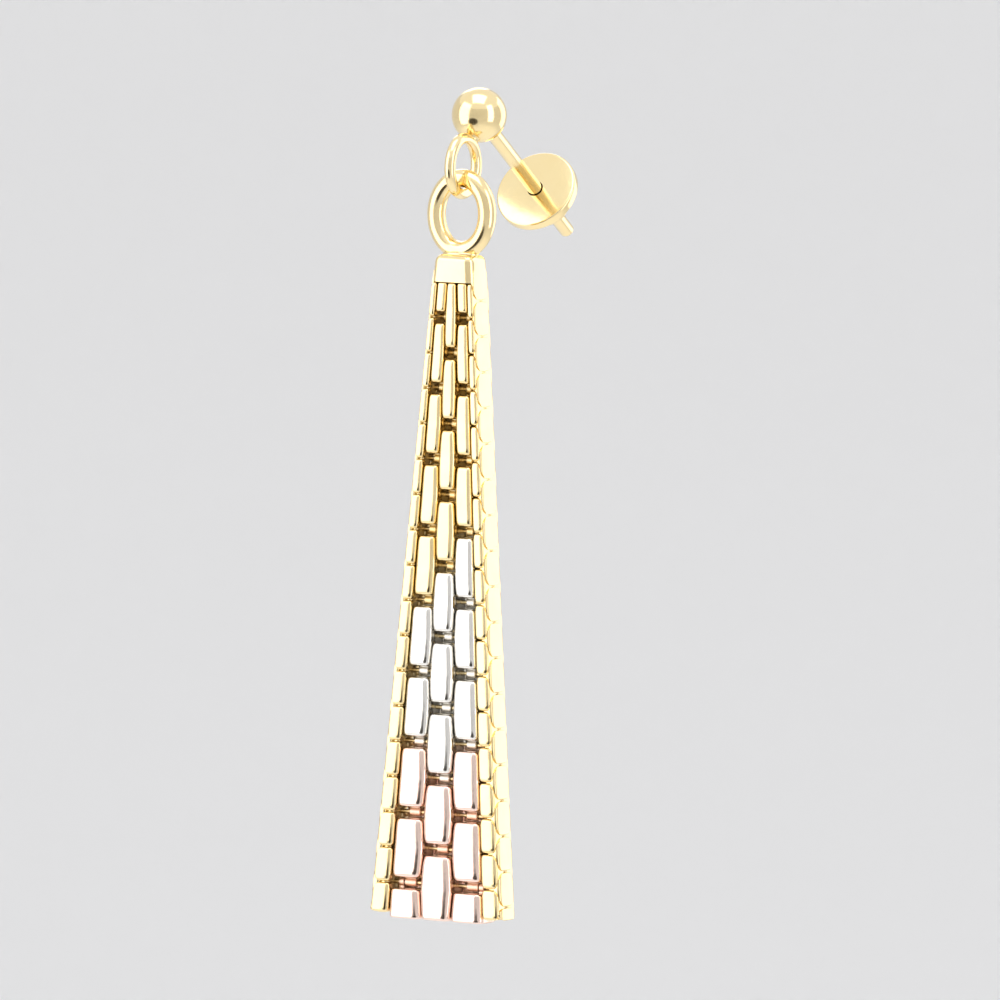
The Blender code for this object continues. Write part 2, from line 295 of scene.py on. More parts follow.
@dataclass(frozen=True)
class GoldPolish:
    """One colour of gold after polishing: bright crowns, duller seams with painted shade, and fine buffing
    marks.

    crown and warm mix in soft clouds on the open faces, and seam is the darker colour painted as shade deep
    in the seams. Scales are counted in a metre. The marks run from mark_from, where they start, to mark_full,
    where they are whole.
    """

    slot: str
    crown: tuple[float, float, float]
    warm: tuple[float, float, float]
    # seam is a darker colour painted as shade in the seams
    seam: tuple[float, float, float]
    gloss: float = 0.09
    seam_gloss: float = 0.42
    mottle_scale: float = 900.0
    buff_scale: tuple[float, float, float] = (26000.0, 26000.0, 2600.0)
    buff_turn: float = 24.0
    hammer_scale: float = 1500.0
    hammer_strength: float = 0.5
    hammer_depth: float = 0.012 * MM
    mark_from: float = 0.56
    mark_full: float = 0.78
    mark_strength: float = 0.35
    mark_depth: float = 0.0012 * MM
    mottle_wear: float = 0.05
    mark_wear: float = 0.12

    def material(self) -> bpy.types.Material:
        """Builds the material on Object coordinates and on the attribute that paints shade into the seams and
        dulls them.

        Returns:
            The finished material.
        """
        material = bpy.data.materials.new(self.slot + "_polish")
        material.use_nodes = True
        tree = material.node_tree
        shader = tree.nodes["Principled BSDF"]
        shader.inputs["Metallic"].default_value = 1.0
        place = tree.nodes.new("ShaderNodeTexCoord").outputs["Object"]
        shade_and_dullness = tree.nodes.new("ShaderNodeAttribute")
        shade_and_dullness.attribute_name = "shade_and_dullness"
        mottle = self.noise(tree, place, self.mottle_scale, 4.0)
        marks = self.buffing(tree, place)
        tone = self.blend_colour(tree, mottle, self.crown, self.warm)
        # Painted shade: the colour darkens towards the seam colour deep in the seams
        colour = self.blend_colour(tree, shade_and_dullness.outputs["Fac"], tone, self.seam)
        tree.links.new(colour, shader.inputs["Base Color"])
        gloss = self.roughness(tree, shade_and_dullness.outputs["Fac"], mottle, marks)
        tree.links.new(gloss, shader.inputs["Roughness"])
        tree.links.new(self.relief(tree, place, marks), shader.inputs["Normal"])
        material.diffuse_color = (*self.crown, 1.0)
        return material

    def noise(
        self, tree: bpy.types.NodeTree, place: bpy.types.NodeSocket, scale: float, detail: float
    ) -> bpy.types.NodeSocket:
        """Soft cloudy noise of one scale.

        Args:
            tree: the material's nodes.
            place: the coordinates that it reads.
            scale: how many clouds fit in a metre.
            detail: how many finer layers it has.

        Returns:
            The noise's factor socket.
        """
        node = tree.nodes.new("ShaderNodeTexNoise")
        node.inputs["Scale"].default_value = scale
        node.inputs["Detail"].default_value = detail
        tree.links.new(place, node.inputs["Vector"])
        return node.outputs["Fac"]

    def buffing(self, tree: bpy.types.NodeTree, place: bpy.types.NodeSocket) -> bpy.types.NodeSocket:
        """Long hairline marks that the buffing wheel leaves.

        Args:
            tree: the material's nodes.
            place: the coordinates that it reads.

        Returns:
            The marks' factor socket, mostly 0 with thin lines of up to 1.
        """
        mapping = tree.nodes.new("ShaderNodeMapping")
        mapping.inputs["Rotation"].default_value = (0.0, math.radians(self.buff_turn), 0.0)
        mapping.inputs["Scale"].default_value = self.buff_scale
        tree.links.new(place, mapping.inputs["Vector"])
        lines = self.noise(tree, mapping.outputs["Vector"], 1.0, 2.0)
        ramp = tree.nodes.new("ShaderNodeMapRange")
        ramp.inputs["From Min"].default_value = self.mark_from
        ramp.inputs["From Max"].default_value = self.mark_full
        tree.links.new(lines, ramp.inputs["Value"])
        return ramp.outputs["Result"]

    def blend_colour(
        self,
        tree: bpy.types.NodeTree,
        factor: bpy.types.NodeSocket,
        first: tuple[float, float, float] | bpy.types.NodeSocket,
        second: tuple[float, float, float],
    ) -> bpy.types.NodeSocket:
        """Mixes two colours by a factor.

        Args:
            tree: the material's nodes.
            factor: the socket that mixes them.
            first: the colour at 0, or the socket that gives it.
            second: the colour at 1.

        Returns:
            The mixed colour's socket.
        """
        mix = tree.nodes.new("ShaderNodeMix")
        mix.data_type = "RGBA"
        tree.links.new(factor, mix.inputs["Factor"])
        if isinstance(first, tuple):
            mix.inputs["A"].default_value = (*first, 1.0)
        else:
            tree.links.new(first, mix.inputs["A"])
        mix.inputs["B"].default_value = (*second, 1.0)
        return mix.outputs["Result"]

    def roughness(
        self,
        tree: bpy.types.NodeTree,
        shade_and_dullness: bpy.types.NodeSocket,
        mottle: bpy.types.NodeSocket,
        marks: bpy.types.NodeSocket,
    ) -> bpy.types.NodeSocket:
        """Gloss on the crowns, duller seams, and a little wear where the hairlines run.

        Args:
            tree: the material's nodes.
            shade_and_dullness: the socket of the seam depth.
            mottle: the socket of the soft clouds.
            marks: the socket of the hairlines.

        Returns:
            The roughness socket.
        """
        base = tree.nodes.new("ShaderNodeMapRange")
        base.inputs["To Min"].default_value = self.gloss
        base.inputs["To Max"].default_value = self.seam_gloss
        tree.links.new(shade_and_dullness, base.inputs["Value"])
        total = base.outputs["Result"]
        for socket, amount in ((mottle, self.mottle_wear), (marks, self.mark_wear)):
            add = tree.nodes.new("ShaderNodeMath")
            add.operation = "MULTIPLY_ADD"
            add.inputs[1].default_value = amount
            tree.links.new(socket, add.inputs[0])
            tree.links.new(total, add.inputs[2])
            total = add.outputs["Value"]
        return total

    def relief(
        self, tree: bpy.types.NodeTree, place: bpy.types.NodeSocket, marks: bpy.types.NodeSocket
    ) -> bpy.types.NodeSocket:
        """The faint waves of stamped sheet and the hairlines, as a bump.

        Args:
            tree: the material's nodes.
            place: the coordinates that it reads.
            marks: the socket of the hairlines.

        Returns:
            The normal socket.
        """
        waves = tree.nodes.new("ShaderNodeBump")
        waves.inputs["Strength"].default_value = self.hammer_strength
        waves.inputs["Distance"].default_value = self.hammer_depth
        tree.links.new(self.noise(tree, place, self.hammer_scale, 1.0), waves.inputs["Height"])
        scratches = tree.nodes.new("ShaderNodeBump")
        scratches.invert = True
        scratches.inputs["Strength"].default_value = self.mark_strength
        scratches.inputs["Distance"].default_value = self.mark_depth
        tree.links.new(marks, scratches.inputs["Height"])
        tree.links.new(waves.outputs["Normal"], scratches.inputs["Normal"])
        return scratches.outputs["Normal"]


class Metal(Enum):
    """The three golds of the earring."""

    # Each seam colour is a darker tone painted as shade in the seams
    YELLOW = GoldPolish(
        slot="yellow_gold", crown=(0.97, 0.80, 0.46), warm=(0.94, 0.74, 0.38), seam=(0.86, 0.68, 0.38)
    )
    WHITE = GoldPolish(
        slot="white_gold", crown=(0.90, 0.88, 0.84), warm=(0.86, 0.83, 0.77), seam=(0.78, 0.74, 0.67)
    )
    ROSE = GoldPolish(
        slot="rose_gold", crown=(0.97, 0.77, 0.68), warm=(0.95, 0.71, 0.60), seam=(0.88, 0.64, 0.49)
    )


class Finisher:
    """Dresses finished pieces: their metal, their body and the CAD nodes that they stand for."""

    def __init__(self) -> None:
        """Makes each metal's material once."""
        self.materials = {metal: metal.value.material() for metal in Metal}
        self.count = 0

    def dress(self, obj: bpy.types.Object, metal: Metal, body: str, nodes: Sequence[str] = ()) -> None:
        """Gives a piece its metal and its place in the frame.

        Args:
            obj: the finished piece, with its place in its mesh.
            metal: its gold.
            body: the CAD body that it moves with.
            nodes: the CAD nodes that it replaces.
        """
        obj.data.materials.clear()
        obj.data.materials.append(self.materials[metal])
        smooth(obj)
        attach(obj, body)
        if nodes:
            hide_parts(*nodes)
        self.count += 1
        log.info("%s in %s, %d faces", obj.name, metal.value.slot, len(obj.data.polygons))


# Sub-assemblies


@dataclass
class BallStud:
    """The ball, the post behind it and the loop soldered under it.

    neck_shares is the profile of the solder between ball and loop, as (radius, height over the ball's skin)
    in shares of the wire's radius.
    """

    ball_diameter: float = 3.0 * MM
    post_diameter: float = 0.8 * MM
    post_length: float = 11.0 * MM
    tip_rounding: float = 0.15 * MM
    collar: float = 0.16 * MM
    loop_outer: float = 3.6 * MM
    loop_wire: float = LOOP_WIRE
    solder_depth: float = 0.1 * MM
    # Painted shade round the joint of loop and ball, fading out over solder_reach
    solder_reach: float = 0.9 * MM
    joint_painted_shade: float = 0.5
    neck_shares: tuple[tuple[float, float], ...] = (
        (0.0, -2.0),
        (1.75, -0.62),
        (1.3, -0.1),
        (1.04, 0.35),
        (0.94, 0.8),
        (0.0, 1.3),
    )
    steps: int = 72
    wire_steps: int = 24
    neck_steps: int = 32
    ball_points: int = 40
    corner_points: int = 6

    def down(self) -> Vector:
        """The direction from the ball to the loop, square to the post."""
        return Vector((1, 0, 0)).cross(POST_DIRECTION).normalized() * -1

    def ball_centre(self) -> Vector:
        """The middle of the ball."""
        return POST_DIRECTION * (-self.ball_diameter / 2)

    def loop_centre(self) -> Vector:
        """The middle of the loop."""
        reach = (self.ball_diameter + self.loop_outer) / 2 - self.solder_depth
        return self.ball_centre() + self.down() * reach

    def ball_and_post(self) -> bpy.types.Object:
        """Turns the ball, the solder collar and the post as one profile.

        Returns:
            The turned object.
        """
        ball = self.ball_diameter / 2
        post = self.post_diameter / 2
        reach = post + self.collar
        seat = math.degrees(math.acos(reach / ball))
        tip = self.tip_rounding
        profile = arc((0, -ball), ball, -90, seat, self.ball_points)
        foot = profile[-1][1]
        profile += arc((reach, foot + self.collar), self.collar, -100, -180, self.corner_points)
        profile += arc((post - tip, self.post_length - tip), tip, 0, 90, self.corner_points)
        profile.append((0, self.post_length))
        return turned("ball_and_post", profile, self.steps, along_axis(Vector(), POST_DIRECTION))

    def loop(self) -> bpy.types.Object:
        """The closed wire loop under the ball.

        Returns:
            The loop, edge on to the front.
        """
        bpy.ops.mesh.primitive_torus_add(
            major_segments=self.steps,
            minor_segments=self.wire_steps,
            major_radius=(self.loop_outer - self.loop_wire) / 2,
            minor_radius=self.loop_wire / 2,
            location=self.loop_centre(),
            rotation=(0, math.radians(90), 0),
        )
        return settle(bpy.context.object)

    def solder_neck(self) -> bpy.types.Object:
        """The waisted neck of solder where the loop meets the ball.

        Returns:
            The neck, sunk a little into both.
        """
        ball = self.ball_diameter / 2
        wire = self.loop_wire / 2
        profile = [(wire * out, ball + wire * along) for out, along in self.neck_shares]
        return turned("solder_neck", profile, self.neck_steps, along_axis(self.ball_centre(), self.down()))

    def build(self, finisher: Finisher) -> None:
        """Solders and dresses the stud.

        Args:
            finisher: dresses the piece.
        """
        stud = joined("polished_ball_stud", [self.ball_and_post(), self.loop(), self.solder_neck()])
        joint = self.ball_centre() + self.down() * (self.ball_diameter / 2)
        # Painted shade round the joint where the loop meets the ball
        mark_shade_and_dullness(
            stud,
            lambda point: self.joint_painted_shade * (1 - smoothstep((point - joint).length / self.solder_reach)),
        )
        finisher.dress(stud, Metal.YELLOW, "stud", ["ball_stud"])


@dataclass
class EarNut:
    """The plain turned nut behind the ear."""

    disc_diameter: float = 4.6 * MM
    disc_thickness: float = 0.6 * MM
    hub_diameter: float = 2.2 * MM
    hub_length: float = 1.6 * MM
    bore: float = 0.9 * MM
    rounding: float = 0.12 * MM
    behind: float = 6.4 * MM
    corner_shade: float = 0.5
    steps: int = 72
    corner_points: int = 5

    def build(self, finisher: Finisher) -> None:
        """Turns the nut, with its corners rounded, and dresses it.

        Args:
            finisher: dresses the piece.
        """
        disc = self.disc_diameter / 2
        hub = self.hub_diameter / 2
        bore = self.bore / 2
        soft = self.rounding
        back = self.disc_thickness + self.hub_length
        profile = [(bore, 0), (disc - soft, 0)]
        profile += arc((disc - soft, soft), soft, -60, 0, self.corner_points - 1)
        profile += arc((disc - soft, self.disc_thickness - soft), soft, 0, 90, self.corner_points)
        profile += arc((hub + soft, self.disc_thickness + soft), soft, -90, -180, self.corner_points)
        profile += arc((hub - soft, back - soft), soft, 0, 90, self.corner_points)
        profile.append((bore, back))
        place = along_axis(POST_DIRECTION * self.behind, POST_DIRECTION)
        nut = turned("turned_ear_nut", profile, self.steps, place)

        def shade_at(point: Vector) -> float:
            """How much the corner between disc and hub shades a point."""
            from_axis = (point - POST_DIRECTION * point.dot(POST_DIRECTION)).length
            return self.corner_shade * (1 - smoothstep(abs(from_axis - hub - soft) / (3 * soft)))

        mark_shade_and_dullness(nut, shade_at)
        finisher.dress(nut, Metal.YELLOW, "stud", ["ear_nut"])


@dataclass
class Panel:
    """The tapered panel that the frame, the bricks and the pins share.

    The cap and the bricks taper as one, and levels count half pitches down from the cap. sag is how far the
    bricks of the foot hang below the edges.
    """

    wire: float = 1.0 * MM
    loop_wire: float = LOOP_WIRE
    link_gap: float = 0.05 * MM
    ring_width: float = 4.1 * MM
    ring_height: float = 4.9 * MM
    ring_solder: float = 0.3 * MM
    cap_height: float = 1.5 * MM
    top_width: float = 2.3 * MM
    bottom_width: float = 8.2 * MM
    thickness: float = 2.1 * MM
    length: float = 34.6 * MM
    sag: float = 0.25 * MM
    seam: float = 0.02 * MM
    levels: int = 18
    centre_share: float = 0.237
    edge_share: float = 0.29
    nesting_share: float = 0.08
    # The outer share of the depth that stays unshaded, and the painted shade at the panel's middle
    unshaded_share: float = 0.8
    seam_shade: float = 0.9

    def ring_centre(self) -> Vector:
        """The middle of the ring, which hangs on the inside of the loop's wire."""
        rise = self.loop_wire / 2 + self.link_gap + self.wire / 2
        return PIVOT + Vector((0, 0, rise - (self.ring_height - self.wire) / 2))

    def cap_top(self) -> float:
        """The height of the cap's top."""
        return self.ring_centre().z - self.ring_height / 2 + self.ring_solder

    def field_top(self) -> float:
        """The height where the bricks start."""
        return self.cap_top() - self.cap_height

    def step(self) -> float:
        """Half a brick's pitch."""
        return self.length / self.levels

    def height(self, level: float) -> float:
        """The height of a level, counted in half pitches from the cap."""
        return self.field_top() - level * self.step()

    def half_width(self, z: float) -> float:
        """Half the panel's width at a height."""
        share = (self.cap_top() - z) / (self.cap_height + self.length)
        return (self.top_width + (self.bottom_width - self.top_width) * share) / 2

    def centre_limit(self, z: float) -> float:
        """Half the centre column's width, which waves as each brick bulges into its neighbours' gaps."""
        level = (self.field_top() - z) / self.step()
        return self.half_width(z) * self.centre_share * (1 - self.nesting_share * math.cos(math.pi * level))

    def edge_limit(self, z: float) -> float:
        """How far from the middle the edge links start."""
        return self.half_width(z) * (1 - self.edge_share)

    def depth_mark(self, point: Vector, depth: float) -> float:
        """How much painted shade a point gets by how deep in the panel's seams it lies.

        Args:
            point: the point.
            depth: half the panel's thickness there.

        Returns:
            0 on the outer share of the depth, rising to the painted seam shade at the panel's middle.
        """
        share = abs(point.y - PIVOT.y) / depth
        return (1 - smoothstep(share / self.unshaded_share)) * self.seam_shade


@dataclass
class LinkShape:
    """The room that one pillowed link fills, how square it is, and how its outer corners are cut.

    A roundness of 1 draws an ellipse and one near 0 a box. corner_side is 1 or -1 where the corners towards
    +X or -X are cut, and 0 where those at the front and back are. corner_cut is how far.
    """

    top: float
    bottom: float
    limits: Callable[[float], tuple[float, float]]
    front: float
    back: float
    top_roundness: float = 0.20
    bottom_roundness: float = 0.20
    section_roundness: float = 0.38
    corner_side: int = 0
    corner_cut: float = 0.0


@dataclass
class LinkPress:
    """Presses pillowed links from round blanks.

    corner_start is where a link's corners start, as the sum of two shares that each reach 1 at its skin.
    """

    fine_levels: int = 4
    coarse_levels: int = 3
    corner_start: float = 1.45
    blanks: dict[int, bpy.types.Object] = field(default_factory=dict)

    def blank(self, levels: int) -> bpy.types.Object:
        """The round blank: a cube divided and cast to a ball of radius 1.

        Args:
            levels: how often its faces are divided.

        Returns:
            The blank, which is kept for all links of that fineness.
        """
        if levels not in self.blanks:
            bpy.ops.mesh.primitive_cube_add(size=2)
            ball = bpy.context.object
            ball.name = f"link_blank_{levels}"
            with editing(ball):
                bpy.ops.mesh.select_all(action="SELECT")
                bpy.ops.mesh.subdivide(number_cuts=2**levels - 1)
            cast = ball.modifiers.new("round", "CAST")
            cast.factor = 1.0
            cast.radius = 1.0
            cast.size = 1.0
            cast.use_radius_as_size = True
            apply_modifiers(ball)
            self.blanks[levels] = ball
        return self.blanks[levels]

    def press(self, name: str, shape: LinkShape, levels: int) -> bpy.types.Object:
        """Presses one link into its room.

        Args:
            name: the link's name.
            shape: its room and its roundness.
            levels: how finely it is divided.

        Returns:
            The link, with its place in its mesh.
        """
        link = copied(self.blank(levels), name)
        middle = (shape.top + shape.bottom) / 2
        half = (shape.top - shape.bottom) / 2
        for vertex in link.data.vertices:
            ball = vertex.co.normalized()
            roundness = shape.top_roundness if ball.z > 0 else shape.bottom_roundness
            z = middle + squared(ball.z, roundness) * half
            girth = max(1 - ball.z * ball.z, 0.0) ** (roundness / 2)
            angle = math.atan2(ball.y, ball.x)
            left, right = shape.limits(z)
            across = squared(math.cos(angle), shape.section_roundness) * girth
            deep = squared(math.sin(angle), shape.section_roundness) * girth
            x = (left + right) / 2 + across * (right - left) / 2
            y = (shape.front + shape.back) / 2 + deep * (shape.back - shape.front) / 2
            outward = across * shape.corner_side if shape.corner_side else abs(deep)
            towards_corner = outward + abs(z - middle) / half - self.corner_start
            cut = shape.corner_cut * smoothstep(towards_corner / (2 - self.corner_start))
            if shape.corner_side:
                x -= shape.corner_side * cut
            else:
                y -= math.copysign(cut, deep)
            vertex.co = (x, y, z - math.copysign(cut, z - middle))
        return link

    def clear(self) -> None:
        """Puts the blanks away."""
        for blank in self.blanks.values():
            bpy.data.objects.remove(blank, do_unlink=True)
        self.blanks.clear()


@dataclass
class DropFrame:
    """The ring, the cap and the two edges of small fused links.

    The cap's and the edge's depths are shares of the panel's thickness, and the rows' and the core's are
    shares of the edge's. bead_shares are the solder's half sizes in shares of the ring's wire. pit is how far
    the links' outer corners are cut, and shortest_share is the least link at the foot, in whole links.
    """

    panel: Panel
    press: LinkPress
    steps: int = 72
    wire_steps: int = 28
    cap_depth_share: float = 0.94
    cap_rounding: float = 0.42 * MM
    cap_rounding_steps: int = 5
    bead_shares: tuple[float, float, float] = (1.05, 0.62, 0.26)
    bead_steps: int = 32
    # Painted shade round the bead where the ring meets the cap
    bead_shade: float = 0.35
    edge_depth_share: float = 0.92
    link_gap: float = 0.05 * MM
    shortest_share: float = 0.2
    wrap_share: float = 0.42
    corner_inset_share: float = 0.07
    flank_depth_share: float = 0.88
    core_share: float = 0.66
    pit: float = 0.23 * MM
    row_gap_share: float = 0.1
    link_roundness: float = 0.30
    link_section_roundness: float = 0.42
    core_roundness: float = 0.1
    core_section_roundness: float = 0.5
    edge_shade_rise: float = 4.0

    def ring(self) -> bpy.types.Object:
        """The oval wire ring that hangs on the loop.

        Returns:
            The ring, facing the front.
        """
        bpy.ops.mesh.primitive_torus_add(
            major_segments=self.steps,
            minor_segments=self.wire_steps,
            major_radius=(self.panel.ring_height - self.panel.wire) / 2,
            minor_radius=self.panel.wire / 2,
            location=self.panel.ring_centre(),
            rotation=(math.radians(90), 0, 0),
        )
        ring = settle(bpy.context.object)
        narrower = (self.panel.ring_height - self.panel.ring_width) / 2
        centre = self.panel.ring_centre()
        for vertex in ring.data.vertices:
            out = vertex.co - centre
            vertex.co.x -= narrower * out.x / math.hypot(out.x, out.z)
        return ring

    def cap(self) -> bpy.types.Object:
        """The polished cap under the ring, wider at its foot.

        Returns:
            The cap with rounded corners.
        """
        panel = self.panel
        middle = panel.cap_top() - panel.cap_height / 2
        bpy.ops.mesh.primitive_cube_add(size=1, location=(PIVOT.x, PIVOT.y, middle))
        cap = bpy.context.object
        cap.scale = (2 * panel.half_width(middle), panel.thickness * self.cap_depth_share, panel.cap_height)
        settle(cap)
        widths = {True: panel.half_width(panel.cap_top()), False: panel.half_width(panel.field_top())}
        with editing(cap):
            for is_top, width in widths.items():
                pick_points(cap, lambda point: (point.z > middle) == is_top)
                bpy.ops.transform.resize(
                    value=(width / panel.half_width(middle), 1, 1), center_override=(PIVOT.x, PIVOT.y, middle)
                )
            pick_edges(cap, lambda start, end: max(start.z, end.z) > middle)
            bpy.ops.mesh.bevel(
                offset=self.cap_rounding, segments=self.cap_rounding_steps, profile=0.5, affect="EDGES"
            )
        return cap

    def solder_bead(self) -> bpy.types.Object:
        """The bead of solder between the ring and the cap.

        Returns:
            A flat rounded bead on the cap's top.
        """
        panel = self.panel
        bpy.ops.mesh.primitive_uv_sphere_add(
            segments=self.bead_steps,
            ring_count=self.bead_steps // 2,
            radius=1,
            location=(PIVOT.x, PIVOT.y, panel.cap_top()),
        )
        bead = bpy.context.object
        bead.scale = Vector(self.bead_shares) * panel.wire
        return settle(bead)

    def edge_links(self, name: str, side: int) -> bpy.types.Object:
        """One edge: a front and a back row of small links, and a row round the outside, half a link lower.

        Args:
            name: the edge's name.
            side: -1 for the left edge and 1 for the right.

        Returns:
            The edge as one fused mesh.
        """
        panel = self.panel
        deep = panel.thickness * self.edge_depth_share / 2
        near = deep * self.row_gap_share
        flank = deep * self.flank_depth_share
        foot = panel.height(panel.levels) + panel.sag
        pieces = []

        def room(inner: float, outer: float) -> Callable[[float], tuple[float, float]]:
            """The limits of a row between two shares of the edge's width."""

            def limits(z: float) -> tuple[float, float]:
                """The left and right limits at a height."""
                start = panel.edge_limit(z) + panel.seam / 2
                width = panel.half_width(z) - start
                ends = sorted((side * (start + width * inner), side * (start + width * outer)))
                return ends[0], ends[1]

            return limits

        rows = (
            ("front", 0.0, room(0, 1 - self.corner_inset_share), -deep, -near, side),
            ("back", 0.0, room(0, 1 - self.corner_inset_share), near, deep, side),
            ("flank", 0.5, room(1 - self.wrap_share, 1), -flank, flank, 0),
        )
        for row, offset, limits, front, back, corner in rows:
            for number in range(-1, panel.levels):
                top = panel.height(number + offset) - self.link_gap / 2
                bottom = max(panel.height(number + offset + 1) + self.link_gap / 2, foot)
                # The flank's first link starts half a link above the bricks, and slivers are left out
                if top > panel.height(-0.5) or top - bottom < panel.step() * self.shortest_share:
                    continue
                shape = LinkShape(
                    top=top,
                    bottom=bottom,
                    limits=limits,
                    front=PIVOT.y + front,
                    back=PIVOT.y + back,
                    top_roundness=self.link_roundness,
                    bottom_roundness=self.link_roundness,
                    section_roundness=self.link_section_roundness,
                    corner_side=corner,
                    corner_cut=self.pit,
                )
                pieces.append(self.press.press(f"{name}_{row}", shape, self.press.coarse_levels))
        inset = (1 - self.core_share) / 2
        core_deep = deep * self.core_share
        core = LinkShape(
            top=panel.height(0),
            bottom=foot + self.link_gap,
            limits=room(inset, 1 - inset),
            front=PIVOT.y - core_deep,
            back=PIVOT.y + core_deep,
            top_roundness=self.core_roundness,
            bottom_roundness=self.core_roundness,
            section_roundness=self.core_section_roundness,
        )
        pieces.append(self.press.press(f"{name}_core", core, self.press.coarse_levels))
        return joined(name, pieces)

    def build(self, finisher: Finisher) -> None:
        """Builds and dresses the ring and cap, and the two edges.

        Args:
            finisher: dresses the pieces.
        """
        panel = self.panel
        top = joined("ring_and_cap", [self.ring(), self.cap(), self.solder_bead()])
        joint = Vector((PIVOT.x, PIVOT.y, panel.cap_top()))
        # Painted shade round the solder bead where the ring meets the cap
        mark_shade_and_dullness(
            top, lambda point: self.bead_shade * (1 - smoothstep((point - joint).length / panel.wire))
        )
        finisher.dress(top, Metal.YELLOW, "drop", ["drop_frame"])
        core_depth = panel.thickness * self.edge_depth_share / 2 * self.core_share

        def depth_at(point: Vector) -> float:
            """How far inside the edge's outer skin a point lies, which sets the painted shade there."""
            outer = panel.half_width(point.z)
            start = panel.edge_limit(point.z)
            from_face = 1 - abs(point.y - PIVOT.y) / core_depth
            from_flank = (outer - abs(point.x)) / (outer - start)
            return smoothstep(min(from_face, from_flank) * self.edge_shade_rise)

        for name, side in (("edge_links_left", -1), ("edge_links_right", 1)):
            edge = self.edge_links(name, side)
            # Painted shade inside the edges, away from their outer faces
            mark_shade_and_dullness(edge, depth_at)
            finisher.dress(edge, Metal.YELLOW, "drop", ["drop_frame"])


@dataclass
class Column:
    """One column of bricks, counted from 0 at its top.

    side is -1, 0 or 1. first_white and first_rose are the first bricks of each metal, and offset is the
    level of the column's first cut.
    """

    name: str
    side: int
    first_white: int
    first_rose: int
    offset: int

    def metal(self, number: int) -> Metal:
        """The gold of a brick, counted from the top of its column."""
        if number >= self.first_rose:
            return Metal.ROSE
        return Metal.WHITE if number >= self.first_white else Metal.YELLOW


